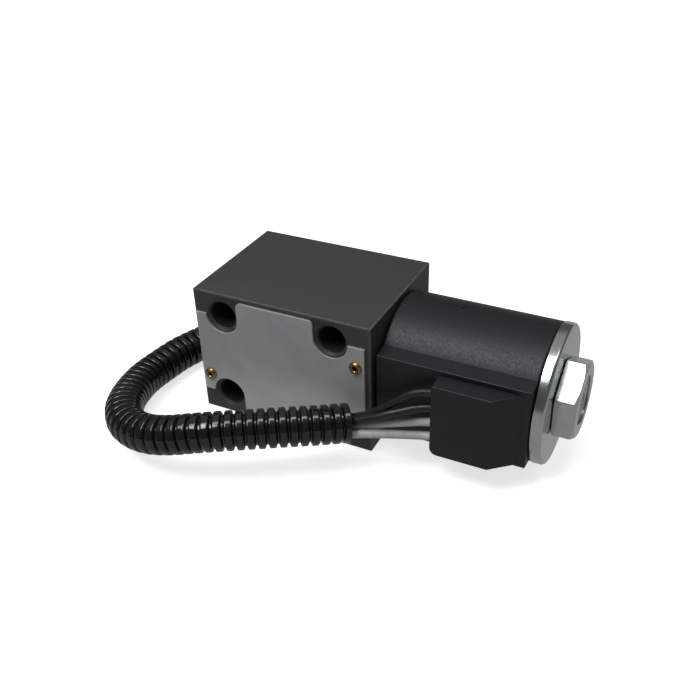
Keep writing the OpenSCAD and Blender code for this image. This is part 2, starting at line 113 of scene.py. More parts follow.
class Shader(Nodes):
    """A material whose textures are laid out in the object's own space."""

    def __init__(self, name):
        self.material = bpy.data.materials.new(name)
        super().__init__(self.material)
        self.surface = self.tree.nodes["Principled BSDF"]
        self.place = self.add("ShaderNodeTexCoord").outputs["Object"]

    def stretched(self, scale):
        node = self.add("ShaderNodeMapping")
        self.put(node.inputs["Vector"], self.place)
        node.inputs["Scale"].default_value = scale
        return node.outputs[0]

    def noise(self, size_mm, detail=2.0, rough=0.5, along=(1, 1, 1), warp=0.0):
        """Noise about size_mm across, stretched along an axis whose factor is small."""
        node = self.add("ShaderNodeTexNoise")
        self.put(node.inputs["Vector"], self.stretched(along))
        node.inputs["Scale"].default_value = 1 / (size_mm * MM)
        node.inputs["Detail"].default_value = detail
        node.inputs["Roughness"].default_value = rough
        node.inputs["Distortion"].default_value = warp
        return node.outputs["Fac"]

    def remap(self, value, low, high, to_low, to_high):
        """The value moved from one range to another, held at its ends."""
        node = self.add("ShaderNodeMapRange")
        self.put(node.inputs["Value"], value)
        for key, number in (
            ("From Min", low), ("From Max", high), ("To Min", to_low), ("To Max", to_high)
        ):
            node.inputs[key].default_value = number
        return node.outputs["Result"]

    def blend(self, share, a, b):
        """Colour a at share 0, and colour b at share 1."""
        node = self.add("ShaderNodeMix", data_type="RGBA")
        self.put(node.inputs[0], share)
        for socket, colour in ((node.inputs[6], a), (node.inputs[7], b)):
            self.put(socket, (*colour, 1) if isinstance(colour, tuple) else colour)
        return node.outputs[2]

    def bump(self, height, depth_mm, strength=1.0, below=None):
        """Surface relief depth_mm deep, on top of the coarser relief below."""
        node = self.add("ShaderNodeBump")
        self.put(node.inputs["Height"], height)
        node.inputs["Distance"].default_value = depth_mm * MM
        node.inputs["Strength"].default_value = strength
        if below is not None:
            self.put(node.inputs["Normal"], below)
        return node.outputs["Normal"]

    def set(self, **inputs):
        """Sets the surface's inputs, whose names have _ for a space here."""
        for key, value in inputs.items():
            self.put(self.surface.inputs[key.replace("_", " ")], value)


def shade(colour, factor):
    """A darker or lighter form of a colour."""
    return tuple(c * factor for c in colour)


# ---------- Finishes ----------

def cast_body():
    """Dark olive phosphate: matt, faintly mottled, rubbed lighter along the block's edges, with
    painted shade that turns its bores and recesses near black on top of their darker unpainted
    finish.
    """
    s = Shader("cast_body")
    low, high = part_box("valve_body")
    middle, half = (low + high) / 2, (high - low) / 2
    parts = s.add("ShaderNodeSeparateXYZ")
    s.put(parts.inputs[0], s.place)
    inset = []
    for k in range(3):
        away = s.math("ABSOLUTE", s.math("SUBTRACT", parts.outputs[k], middle[k]))
        inset.append(s.math("SUBTRACT", half[k], away))
    nearer = s.math("MINIMUM", inset[0], inset[1])
    further = s.math("MAXIMUM", inset[0], inset[1])
    second = s.math("MAXIMUM", nearer, s.math("MINIMUM", further, inset[2]))
    # Painted shade: bores and recesses darken to near black a little way in from the outer faces.
    # This stands in for the shade inside them as well as their darker unpainted finish.
    painted_bore_shade = s.remap(s.math("MINIMUM", nearer, inset[2]), 0.4 * MM, 1.3 * MM, 0, 0.96)
    rub = s.remap(second, 0.1 * MM, 0.8 * MM, 1, 0)
    rub = s.math("MULTIPLY", rub, s.remap(s.noise(2.5, 4, 0.7), 0.3, 0.6, 0.25, 1), clamp=True)
    mottle = s.blend(s.noise(9, 5, 0.6), (0.045, 0.045, 0.041), (0.052, 0.052, 0.047))
    dust = s.remap(s.noise(0.5, 3, 0.7), 0.62, 0.8, 0, 0.35)
    colour = s.blend(dust, mottle, (0.10, 0.10, 0.09))
    colour = s.blend(s.math("MULTIPLY", rub, 0.55), colour, (0.17, 0.165, 0.145))
    # Painted shade: near black inside the bores and recesses.
    colour = s.blend(painted_bore_shade, colour, (0.002, 0.002, 0.002))
    rough = s.remap(s.noise(4, 3), 0.3, 0.7, 0.5, 0.64)
    grain = s.bump(s.noise(0.35, 4, 0.65), 0.02, 0.8)
    s.set(Base_Color=colour, Roughness=s.math("ADD", rough, s.math("MULTIPLY", painted_bore_shade, 0.3)),
          Normal=s.bump(s.noise(6, 2), 0.03, 0.5, grain), Specular_IOR_Level=0.42)
    return s.material


def plate_aluminium():
    """Satin sheet with fine upright brushing, a few handling smudges and faint scratches, and a
    painted reflection that makes it lighter towards the bottom.
    """
    s = Shader("plate_aluminium")
    brushing = s.noise(0.16, 3, 0.6, along=(1, 1, 0.03))
    smudge = s.remap(s.noise(16, 3, 0.55, warp=0.8), 0.42, 0.7, 0, 1)
    colour = s.blend(smudge, (0.48, 0.485, 0.49), (0.41, 0.418, 0.428))
    colour = s.blend(s.remap(brushing, 0.35, 0.65, 0, 0.35), colour, (0.58, 0.58, 0.577))
    parts = s.add("ShaderNodeSeparateXYZ")
    s.put(parts.inputs[0], s.place)
    # Painted reflection: the sheet is lighter towards the bottom, as if lit by the pale floor in
    # front of it.
    painted_floor_reflection = s.remap(parts.outputs[2], -18 * MM, 14 * MM, 1, 0)
    colour = s.blend(s.math("MULTIPLY", painted_floor_reflection, 0.3), colour, (0.80, 0.80, 0.795))
    rough = s.math("ADD", s.remap(brushing, 0.3, 0.7, 0.5, 0.6), s.math("MULTIPLY", smudge, 0.08))
    s.set(Base_Color=colour, Metallic=0.55, Roughness=rough,
          Normal=s.bump(brushing, 0.004, 0.5))
    return s.material


def turned_metal(name, colour, rough, tint, streak=(0.02, 1, 1), grain=0.2, depth=0.006):
    """Machined or plated metal: streaks from turning or drawing, a drifting tint, and specks."""
    s = Shader(name)
    lines = s.noise(grain, 3, 0.6, along=streak)
    drift = s.noise(7, 4, 0.6)
    base = s.blend(s.remap(drift, 0.3, 0.7, 0, 1), colour, tint)
    specks = s.remap(s.noise(0.5, 2, 0.5), 0.68, 0.74, 0, 0.5)
    base = s.blend(specks, base, shade(colour, 0.6))
    s.set(Base_Color=base, Metallic=1.0, Normal=s.bump(lines, depth, 0.6),
          Roughness=s.remap(lines, 0.3, 0.7, rough[0], rough[1]))
    return s.material


def coil_plastic():
    """Moulded glass-filled nylon: near black, with a fine speckle in its satin sheen."""
    s = Shader("coil_plastic")
    fine = s.noise(0.28, 3, 0.6)
    coarse = s.noise(0.9, 3, 0.6)
    speck = s.remap(s.noise(0.22, 1, 0.5), 0.6, 0.72, 0, 1)
    cloudy = s.blend(s.noise(8, 4, 0.6), (0.007, 0.007, 0.008), (0.011, 0.011, 0.012))
    colour = s.blend(s.math("MULTIPLY", speck, 0.4), cloudy, (0.035, 0.036, 0.042))
    mould = s.bump(coarse, 0.03, 0.55)
    s.set(Base_Color=colour, Roughness=s.remap(coarse, 0.3, 0.7, 0.40, 0.53),
          Normal=s.bump(fine, 0.022, 0.9, mould), Specular_IOR_Level=0.43,
          Specular_Tint=(0.93, 0.955, 1.0, 1))
    return s.material


def smooth_plastic(name, colour, rough, dirt=0.15, grain=0.4, depth=0.006, specular=0.5):
    """Extruded or moulded plastic with a slight orange-peel and a trace of dust."""
    s = Shader(name)
    drift = s.noise(6, 4, 0.6)
    base = s.blend(s.remap(drift, 0.3, 0.7, 0, 1), shade(colour, 0.8), shade(colour, 1.15))
    dust = s.remap(s.noise(1.1, 5, 0.75), 0.58, 0.8, 0, dirt)
    grey = tuple(0.6 * c + 0.05 for c in colour)
    s.set(Base_Color=s.blend(dust, base, grey), Normal=s.bump(s.noise(grain, 3), depth, 0.7),
          Roughness=s.remap(s.noise(2.2, 4, 0.7), 0.3, 0.7, rough[0], rough[1]),
          Specular_IOR_Level=specular)
    return s.material


def rubber():
    """Matt nitrile with a dull bloom."""
    s = Shader("seal_rubber")
    bloom = s.blend(s.noise(1.5, 5, 0.7), (0.009, 0.009, 0.009), (0.022, 0.022, 0.021))
    s.set(Base_Color=bloom, Roughness=s.remap(s.noise(0.8, 3), 0.3, 0.7, 0.55, 0.75),
          Normal=s.bump(s.noise(0.25, 3), 0.01, 0.8))
    return s.material


def copper_winding():
    """Layers of enamelled wire side by side."""
    s = Shader("winding_copper")
    wave = s.add("ShaderNodeTexWave", wave_type="BANDS", bands_direction="X")
    s.put(wave.inputs["Vector"], s.place)
    wave.inputs["Scale"].default_value = 1 / (1.9 * MM)
    wave.inputs["Distortion"].default_value = 0.4
    turns = wave.outputs["Fac"]
    s.set(Base_Color=s.blend(turns, (0.16, 0.045, 0.015), (0.55, 0.22, 0.08)), Metallic=0.8,
          Roughness=s.remap(turns, 0, 1, 0.5, 0.28), Normal=s.bump(turns, 0.12, 1.0))
    return s.material


# Colour, roughness range and second colour, then the streaks' stretch, size and depth
METALS = {
    "rivet_brass": ((0.40, 0.27, 0.09), (0.22, 0.38), (0.26, 0.17, 0.06), (1, 1, 1), 0.5),
    "spool_steel": ((0.55, 0.55, 0.56), (0.16, 0.28), (0.46, 0.46, 0.48)),
    "spring_steel": ((0.42, 0.42, 0.42), (0.3, 0.42), (0.3, 0.29, 0.28), (1, 1, 1), 0.4),
    "zinc_steel": ((0.52, 0.55, 0.54), (0.15, 0.22), (0.46, 0.49, 0.475), (1, 1, 1), 1.2, 0.002),
    "tube_steel": ((0.40, 0.41, 0.41), (0.25, 0.4), (0.31, 0.32, 0.32)),
    "pin_brass": ((0.56, 0.38, 0.14), (0.22, 0.36), (0.42, 0.27, 0.09), (0.05, 1, 1)),
    "terminal_brass": ((0.55, 0.43, 0.2), (0.2, 0.35), (0.4, 0.3, 0.13), (1, 0.05, 1)),
}
# Colour and roughness range, then the share of dust, the grain's size and depth, and specular
PLASTICS = {
    "bobbin_plastic": ((0.60, 0.57, 0.50), (0.45, 0.6)),
    "lead_black": ((0.011, 0.011, 0.012), (0.34, 0.46), 0.25),
    "lead_white": ((0.55, 0.55, 0.53), (0.42, 0.55), 0.3),
    "conduit_plastic": ((0.007, 0.007, 0.0078), (0.07, 0.14), 0.12, 1.5, 0.006, 0.62),
    "connector_plastic": ((0.020, 0.020, 0.022), (0.38, 0.52), 0.2, 0.3, 0.015),
    "grommet_silicone": ((0.28, 0.05, 0.03), (0.45, 0.6)),
    "lock_plastic": ((0.60, 0.20, 0.03), (0.35, 0.5)),
}
FINISH = {
    "cast_body": cast_body(),
    "plate_aluminium": plate_aluminium(),
    "seal_rubber": rubber(),
    "winding_copper": copper_winding(),
    "coil_plastic": coil_plastic(),
    **{name: turned_metal(name, *look) for name, look in METALS.items()},
    **{name: smooth_plastic(name, *look) for name, look in PLASTICS.items()},
}
for part in frame["record"]["subparts"]:
    slots = NODES[part["node"]].data.materials
    slots.clear()
    slots.append(FINISH[part["material_slot"]])


# ---------- Mesh helpers ----------

WELD = 1e-7              # metres within which points are one
CREASE = 35              # degrees between faces above which an edge is sharp


@contextmanager
def editing(piece):
    """The piece's mesh, open for editing."""
    edit = bmesh.new()
    edit.from_mesh(piece.data)
    yield edit
    edit.to_mesh(piece.data)
    edit.free()


def apply_modifiers(piece):
    """Makes the shape that a piece's modifiers give it its own mesh."""
    bpy.context.view_layer.update()
    shown = piece.evaluated_get(bpy.context.evaluated_depsgraph_get())
    mesh = bpy.data.meshes.new_from_object(shown)
    piece.modifiers.clear()
    piece.data = mesh


def make(name, points, faces, slot, body="root", replaces=(), crease=CREASE):
    """A piece from points in metres, smooth except across creases, riding on a body."""
    mesh = bpy.data.meshes.new(name)
    mesh.from_pydata([tuple(p) for p in points], [], faces)
    piece = bpy.data.objects.new(name, mesh)
    bpy.context.scene.collection.objects.link(piece)
    tidy(piece, crease)
    if slot:
        finish_piece(piece, slot, body, replaces)
    return piece


def finish_piece(piece, slot, body="root", replaces=()):
    """Gives a piece its finish, and makes it ride on a body in place of some CAD nodes."""
    piece.data.materials.clear()
    piece.data.materials.append(FINISH[slot])
    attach(piece, body)
    if replaces:
        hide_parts(*replaces)


def tidy(piece, crease):
    """Outward normals, smooth shading, and sharp edges where faces meet at more than crease."""
    with editing(piece) as edit:
        bmesh.ops.recalc_face_normals(edit, faces=edit.faces)
    piece.data.shade_smooth()
    piece.data.set_sharp_from_angle(angle=math.radians(crease))


def carve(piece, tool, operation, crease=CREASE):
    """Boolean of a piece with a tool, which it uses up."""
    change = piece.modifiers.new("carve", "BOOLEAN")
    change.operation, change.object, change.solver = operation, tool, "EXACT"
    apply_modifiers(piece)
    bpy.data.objects.remove(tool)
    tidy(piece, crease)
    return piece


def rounded(outline, steps=5):
    """Points (a, b, radius) joined by lines, with each corner replaced by an arc of its radius."""
    made = []
    for k, (a, b, radius) in enumerate(outline):
        here = Vector((a, b))
        before = Vector(outline[k - 1][:2]) - here
        after = Vector(outline[(k + 1) % len(outline)][:2]) - here
        if radius <= 0:
            made.append(here)
            continue
        turn = before.angle(after)
        back = min(radius / math.tan(turn / 2), 0.49 * before.length, 0.49 * after.length)
        radius = back * math.tan(turn / 2)
        start, end = here + before.normalized() * back, here + after.normalized() * back
        centre = here + (before.normalized() + after.normalized()).normalized() * (
            radius / math.sin(turn / 2))
        sweep = math.pi - turn
        first, last = start - centre, end - centre
        for i in range(steps + 1):
            t = i / steps
            share = (math.sin((1 - t) * sweep), math.sin(t * sweep))
            made.append(centre + (first * share[0] + last * share[1]) / math.sin(sweep))
    return made


def lathe(name, outline, slot, body="root", replaces=(), segments=96, at=None):
    """Solid of revolution from a closed outline of (radius, station, corner radius) in mm.

    It turns about the spool axis, or about a line along +Y through at = (x, z)."""
    ring = rounded(outline)
    points, faces, many = [], [], len(ring)
    for k in range(segments):
        a = 2 * math.pi * k / segments
        for radius, station in ring:
            out, up = radius * math.cos(a), radius * math.sin(a)
            if at is None:
                points.append(Vector((station, AXIS_Y + out, up)) * MM)
            else:
                points.append(Vector((at[0] + out, station, at[1] + up)) * MM)
    for k in range(segments):
        here, there = k * many, (k + 1) % segments * many
        for i in range(many):
            j = (i + 1) % many
            faces.append((here + i, here + j, there + j, there + i))
    piece = make(name, points, faces, None)
    with editing(piece) as edit:
        bmesh.ops.remove_doubles(edit, verts=edit.verts, dist=WELD)
        bmesh.ops.dissolve_degenerate(edit, edges=edit.edges, dist=WELD / 10)
    tidy(piece, CREASE)
    if slot:
        finish_piece(piece, slot, body, replaces)
    return piece


def prism(name, outline, low, high, axis="Z", radius=0.0, steps=3):
    """Closed outline in mm pushed along an axis, with all its edges rounded."""
    place = {
        "X": lambda a, b, c: (c, a, b),
        "Y": lambda a, b, c: (a, c, b),
        "Z": lambda a, b, c: (a, b, c),
    }[axis]
    many = len(outline)
    points = [Vector(place(p[0], p[1], c)) * MM for c in (low, high) for p in outline]
    faces = [(k, (k + 1) % many, many + (k + 1) % many, many + k) for k in range(many)]
    faces += [tuple(range(many)), tuple(range(2 * many - 1, many - 1, -1))]
    piece = make(name, points, faces, None)
    round_edges(piece, radius, steps)
    return piece


def round_edges(piece, radius, steps=3, over=25):
    """Rounds the edges whose faces meet at more than an angle in degrees."""
    if radius <= 0:
        return
    with editing(piece) as edit:
        sharp = [e for e in edit.edges if e.calc_face_angle(0) > math.radians(over)]
        bmesh.ops.bevel(edit, geom=sharp, offset=radius * MM, segments=steps, profile=0.5,
                        affect="EDGES", clamp_overlap=True)
    tidy(piece, CREASE)


def block(name, low, high, radius, steps=3):
    """Box between two corners in mm, with rounded edges."""
    outline = [(low[0], low[1]), (high[0], low[1]), (high[0], high[1]), (low[0], high[1])]
    return prism(name, outline, low[2], high[2], "Z", radius, steps)


def cad_copy(node, name):
    """A new piece with the mesh of a CAD node, welded."""
    piece = bpy.data.objects.new(name, NODES[node].data.copy())
    bpy.context.scene.collection.objects.link(piece)
    with editing(piece) as edit:
        bmesh.ops.remove_doubles(edit, verts=edit.verts, dist=WELD)
    return piece


# ---------- Camera ----------

lens = bpy.data.cameras.new("camera")
lens.sensor_width = 36
lens.lens = 44.75
lens.clip_start = 0.01
camera = bpy.data.objects.new("camera", lens)
camera.location = Vector((128.75, -251.12, 162.15)) * MM
camera.rotation_euler = Euler([math.radians(a) for a in (57.01, 1.30, 26.12)])
bpy.context.scene.collection.objects.link(camera)
bpy.context.scene.camera = camera


# ---------- Routes of the cords, as in the CAD source ----------

CONDUIT_ROUTE = [
    (28.3, -56.8, -7.3), (21, -62.8, -6.3), (13, -68.3, -5.7), (4, -74, -5.4),
    (-4.5, -79, -5.4), (-12, -82.5, -6.1), (-20, -85, -7.7), (-27, -85.8, -9.1),
    (-34, -84.4, -10.6), (-40.5, -81.3, -11.7), (-46.3, -75.7, -12.8), (-50.4, -69.5, -14.1),
    (-53.2, -62.8, -15.2), (-55.3, -55.5, -16.3), (-56, -48.8, -17), (-55.3, -41.5, -17.1),
    (-54.2, -34, -17.1), (-51.5, -25.5, -17.1), (-48, -17, -17.1), (-44.8, -8, -17.1),
    (-43, 1.5, -17), (-42.5, 12, -16.5), (-42.5, 23, -16.2), (-42.5, 33, -16.2),
]
LEAD_ROUTES = {
    "black_lead_upper": [
        (55, -50.7, 8.3), (51, -50.9, 7.4), (47.8, -51.5, 6.3), (44.2, -52.5, 3.8),
        (40, -53.5, 0.3), (36.5, -54, -2.5), (33, -54.3, -4.6), (29.5, -54.6, -6.2),
        (26, -55.3, -6.9),
    ],
    "black_lead_lower": [
        (55, -50.7, 2.8), (51.5, -51.2, 2), (48, -52.8, 1.4), (45, -54.2, 0.5),
        (42, -55.5, -0.4), (38.5, -56.5, -2), (35, -57, -3.5), (31.5, -57.6, -4.9),
        (28.2, -58.1, -5.8),
    ],
    "white_lead_upper": [
        (55, -50.7, -2.9), (51.5, -50.9, -3.5), (48, -51.8, -4.1), (43.5, -53.4, -4.7),
        (40, -54.2, -5.5), (35.5, -55, -6.9), (31, -56, -8.2), (27, -57, -8.9),
    ],
    "white_lead_lower": [
        (55, -50.7, -8.3), (51.5, -51.2, -8.7), (48, -52.4, -8.8), (45, -53.8, -8.6),
        (38.5, -56.3, -8.7), (34.5, -57.5, -9.1), (31.5, -58.4, -9.5), (28.8, -59.3, -9.4),
    ],
}
# Where each lead lies in the conduit: outwards from its middle, and up, in mm
LEAD_PLACES = {
    "black_lead_upper": (-2.5, 0.4), "black_lead_lower": (1, 1.4),
    "white_lead_upper": (-0.7, -1.7), "white_lead_lower": (2.3, -2.2),
}
LEAD_D = 2.8
LEAD_SIDES = 20
LEAD_STEP = 0.9          # mm between a lead's rings
LEAD_GATHER = 0.6        # share of its cavity's place aside that a lead has at the grommet
CONDUIT_D = 13.0
ROUTE_STEPS = 12         # points of the smooth line for each of the conduit's route
CONNECTOR_X, CONNECTOR_Z = -42.5, -16.2    # the connector's axis, along +Y
SHELL_Y = (34.5, 55.5)           # the connector's stations along its axis
GROMMET_Y = (33.5, 37.0)
LEAD_END_Y = 38.2
GRIP_RIB = 1.2
CAVITIES = {
    "black_lead_upper": (-5, 3.2), "black_lead_lower": (5, 3.2),
    "white_lead_upper": (-5, -3.2), "white_lead_lower": (5, -3.2),
}


def smooth_line(route, steps):
    """Catmull-Rom curve through a route, as the CAD source draws it."""
    ends = [2 * np.array(route[0]) - route[1], *map(np.array, route),
            2 * np.array(route[-1]) - route[-2]]
    line = []
    for p0, p1, p2, p3 in zip(ends, ends[1:], ends[2:], ends[3:]):
        for k in range(steps):
            t = k / steps
            line.append((2 * p1 + (p2 - p0) * t + (2 * p0 - 5 * p1 + 4 * p2 - p3) * t ** 2
                         + (3 * p1 - p0 - 3 * p2 + p3) * t ** 3) / 2)
    return np.array([*line, ends[-2]], float)


def even_line(line, gap):
    """The same line with its points a fixed gap apart."""
    along = np.concatenate([[0], np.cumsum(np.linalg.norm(np.diff(line, axis=0), axis=1))])
    stops = np.linspace(0, along[-1], max(2, round(along[-1] / gap) + 1))
    return np.stack([np.interp(stops, along, line[:, k]) for k in range(3)], 1)


def sideways(line):
    """At each point of a line, the way outwards (away from the valve) and the way up."""
    ahead = np.gradient(line, axis=0)
    ahead /= np.linalg.norm(ahead, axis=1)[:, None]
    out = np.cross(ahead, [0, 0, 1.0])
    out /= -np.linalg.norm(out, axis=1)[:, None]
    return out, np.cross(ahead, out)


def spokes(line, turn):
    """Unit arrows across a line at each of its points, turned from outwards towards up."""
    out, up = sideways(line)
    return (np.cos(turn)[None, :, None] * out[:, None]
            + np.sin(turn)[None, :, None] * up[:, None])


def quads(rings, around):
    """Faces between each ring of points and the next."""
    return [
        (i * around + k, i * around + (k + 1) % around,
         (i + 1) * around + (k + 1) % around, (i + 1) * around + k)
        for i in range(rings - 1) for k in range(around)
    ]


def tube(name, rings, slot, replaces):
    """Closed tube from its rings of points in mm, an array of rings by points by 3."""
    many, around = rings.shape[:2]
    faces = quads(many, around)
    faces += [tuple(range(around)), tuple(range((many - 1) * around, many * around))]
    return make(name, rings.reshape(-1, 3) * MM, faces, slot, "root", replaces, crease=60)


# ---------- Conduit ----------

RIB_PITCH = 3.3
RINGS_PER_RIB = 18
SIDES = 56
GROOVE_R = 5.15
WALL = 0.55
RIB_START = 0.22         # share of a pitch at which the mouth is cut
RIB_SHEAR = 0.05         # how far the ribs are out of step where they meet at the slit
SLIT_ANGLE = 22          # degrees above level, on the outer side
SLIT_GAP = 0.10          # mm between the slit's two edges
SLIT_LIP = 0.10          # how far its lower edge stands proud
LIP_SPREAD = 7.0         # degrees over which it does
RIB_FLAT, RIB_FOOT = 0.46, 0.82    # shares of half a pitch where a rib's shoulder starts and ends
RIB_ROUNDNESS = 0.65


def rib_height(phase):
    """Share of the rib's height at a phase of its pitch: a wide round rib, a narrow groove."""
    t = abs(phase % 1.0 - 0.5) * 2
    if t < RIB_FLAT:
        return 1.0
    if t < RIB_FOOT:
        down = (t - RIB_FLAT) / (RIB_FOOT - RIB_FLAT)
        return math.cos(down * math.pi / 2) ** RIB_ROUNDNESS
    return 0.0


def conduit():
    """Slit corrugated tube: a thin ribbed wall whose two edges nearly meet along the slit."""
    line = even_line(smooth_line(CONDUIT_ROUTE, ROUTE_STEPS), RIB_PITCH / RINGS_PER_RIB)
    half_gap = math.degrees(SLIT_GAP / CONDUIT_D)
    turn = np.linspace(SLIT_ANGLE + half_gap, SLIT_ANGLE + 360 - half_gap, SIDES)
    phase = np.arange(len(line))[:, None] / RINGS_PER_RIB + RIB_START
    swell = np.vectorize(rib_height)(phase + RIB_SHEAR * np.arange(SIDES) / SIDES)
    lip = SLIT_LIP * np.exp(-((turn[-1] - turn) / LIP_SPREAD) ** 2)
    outer = GROOVE_R + (CONDUIT_D / 2 - SLIT_LIP - GROOVE_R) * swell + lip
    arrows = spokes(line, np.radians(turn))
    shell = np.concatenate([
        line[:, None] + outer[:, :, None] * arrows,
        line[:, None] + ((outer - WALL)[:, :, None] * arrows)[:, ::-1],
    ], axis=1)
    many = 2 * SIDES
    faces = quads(len(line), many)
    for start in (0, (len(line) - 1) * many):
        faces += [(start + k, start + k + 1, start + many - 2 - k, start + many - 1 - k)
                  for k in range(SIDES - 1)]
    piece = make("conduit_tube", shell.reshape(-1, 3) * MM, faces, "conduit_plastic", "root",
                 ["conduit"], crease=60)
    return piece, line


def lead(name, slot):
    """One lead wire from the terminal box, through the conduit, to its cavity."""
    inside = even_line(smooth_line(CONDUIT_ROUTE, ROUTE_STEPS), 6.0)
    out, up = sideways(inside)
    aside, above = LEAD_PLACES[name]
    held = (inside + aside * out + above * up)[2:-2]
    x, z = CAVITIES[name]
    end = [(CONNECTOR_X + LEAD_GATHER * x, GROMMET_Y[0], CONNECTOR_Z + z),
           (CONNECTOR_X + x, LEAD_END_Y, CONNECTOR_Z + z)]
    line = even_line(smooth_line([*LEAD_ROUTES[name], *held, *end], 8), LEAD_STEP)
    turn = np.linspace(0, 2 * np.pi, LEAD_SIDES, endpoint=False)
    rings = line[:, None] + LEAD_D / 2 * spokes(line, turn)
    return tube(name.replace("_lead", "_wire"), rings, slot, [name]), line


# ---------- Connector on the far end ----------

def joined(name, pieces):
    """One object from several separate meshes."""
    edit = bmesh.new()
    for piece in pieces:
        edit.from_mesh(piece.data)
        bpy.data.objects.remove(piece)
    mesh = bpy.data.meshes.new(name)
    edit.to_mesh(mesh)
    edit.free()
    whole = bpy.data.objects.new(name, mesh)
    bpy.context.scene.collection.objects.link(whole)
    tidy(whole, CREASE)
    return whole


def settle(piece):
    """Weight the normals by face area, so that flats stay flat beside small roundings."""
    change = piece.modifiers.new("settle", "WEIGHTED_NORMAL")
    change.keep_sharp = True
    apply_modifiers(piece)
    return piece


def on_connector(name, outline, at=(0, 0), segments=48):
    """Solid of revolution along the connector, about its own axis or one aside of it."""
    place = (CONNECTOR_X + at[0], CONNECTOR_Z + at[1])
    return lathe(name, outline, None, segments=segments, at=place)


def connector_shell():
    """Sealed four-way housing: ribbed collar, square shell, latch, grip ribs and open cavities."""
    x, z = CONNECTOR_X, CONNECTOR_Z
    shell = block("connector_shell", (x - 10, SHELL_Y[0], z - 7), (x + 10, SHELL_Y[1], z + 7),
                  1.3, 4)
    collar = on_connector("collar", [
        (0, 29.5, 0), (6.9, 29.5, 0.3), (7.3, 30.2, 0.3), (7.3, 31.6, 0.3), (6.95, 32.0, 0.2),
        (6.95, 33.0, 0.2), (7.3, 33.4, 0.3), (7.3, 35.6, 0), (0, 35.6, 0),
    ], segments=96)
    carve(shell, collar, "UNION")
    latch = prism("latch", [
        (39.5, z + 6), (39.5, z + 8.1), (41.5, z + 8.3), (48.2, z + 8.3), (51.5, z + 7.2),
        (51.5, z + 6),
    ], x - 3, x + 3, "X", 0.35)
    carve(shell, latch, "UNION")
    for side in (-1, 1):
        middle = x + side * 9.6
        for k in range(4):
            y = SHELL_Y[0] + 3 + 2 * GRIP_RIB * k
            rib = block("rib", (middle - 1, y, z - 4.8), (middle + 1, y + GRIP_RIB, z + 4.8),
                        0.35, 2)
            carve(shell, rib, "UNION")
    carve(shell, on_connector("mouth", [
        (0, 29, 0), (6.6, 29, 0), (6.6, 37.5, 0), (0, 37.5, 0)], segments=96), "DIFFERENCE")
    for at in CAVITIES.values():
        hole = on_connector("hole", [
            (0, 36, 0), (1.62, 36, 0), (1.62, 54.9, 0), (2.1, 56, 0), (0, 56, 0)], at)
        carve(shell, hole, "DIFFERENCE")
    slot = block("slot", (x - 3, 47.5, z - 2), (x + 3, 57, z + 2), 0)
    carve(shell, slot, "DIFFERENCE")
    finish_piece(settle(shell), "connector_plastic", "root", ["connector_housing"])
    return shell


def connector_grommet():
    """Silicone seal in the housing's mouth, with a hole for each lead."""
    near, far = GROMMET_Y
    grommet = on_connector("connector_grommet", [
        (0, near, 0), (6.45, near, 0.2), (6.45, 34.2, 0.2), (6.15, 34.6, 0.2),
        (6.15, 35.2, 0.2), (6.45, 35.6, 0.2), (6.45, far, 0.2), (0, far, 0),
    ], segments=72)
    for x, z in CAVITIES.values():
        aside = LEAD_GATHER * x + 0.3 * math.copysign(1, x)
        hole = on_connector("hole", [(0, 33, 0), (1.42, 33, 0), (1.42, 38, 0), (0, 38, 0)],
                            (aside, z))
        carve(grommet, hole, "DIFFERENCE")
    finish_piece(settle(grommet), "grommet_silicone", "root", ["connector_seal"])
    return grommet


def connector_pins():
    """Four female terminals, one in each cavity."""
    pins = [on_connector("pin", [
        (0, 38.5, 0), (1.3, 38.5, 0.2), (1.5, 39.4, 0.2), (1.5, 43.5, 0.2), (1.1, 44.0, 0.1),
        (1.1, 44.6, 0.1), (1.5, 45.1, 0.2), (1.5, 54.0, 0.25), (0.85, 54.0, 0.15),
        (0.8, 46.0, 0.1), (0, 45.6, 0),
    ], at) for at in CAVITIES.values()]
    pins = joined("connector_pins", pins)
    finish_piece(settle(pins), "terminal_brass", "root", ["connector_terminals"])
    return pins


def connector_lock():
    """Wedge that locks the terminals, with a slot for a screwdriver."""
    x, z = CONNECTOR_X, CONNECTOR_Z
    lock = block("connector_lock", (x - 2.95, 47.6, z - 1.95), (x + 2.95, 55.9, z + 1.95), 0.3)
    carve(lock, block("slot", (x - 1.6, 54.4, z - 0.5), (x + 1.6, 57, z + 0.5), 0.1), "DIFFERENCE")
    finish_piece(settle(lock), "lock_plastic", "root", ["terminal_lock"])
    return lock


def cords():
    """The conduit and the four leads, with the connector that they all end in."""
    ends = [connector_shell(), connector_grommet(), connector_pins(), connector_lock()]
    tube_piece, line = conduit()
    for name in LEAD_ROUTES:
        piece, line = lead(name, "lead_" + name.split("_")[0])


cords()


# ---------- Valve block and its trim ----------

BLOCK_EDGE = 0.36
RIVETS = ((-28.35, -8.85), (27.85, 8.85))              # (x, z) of each
PORTS = ((0, 10.4), (-8.8, 0), (8.7, 0), (0, -10.4))
END_PLUG_AF = 22
END_PLUG_X = -37.25      # its outer face
CUP_X = -33.55           # the floor of its cup
CUP_R = 6.9


def hexagon(across_flats, turn):
    """Corners (y, z) of a hexagon on the spool axis, the first at a turn in degrees from +Y."""
    reach = across_flats / 2 / math.cos(math.pi / 6)
    angles = [math.radians(turn + 60 * k) for k in range(6)]
    return [(AXIS_Y + reach * math.cos(a), reach * math.sin(a)) for a in angles]


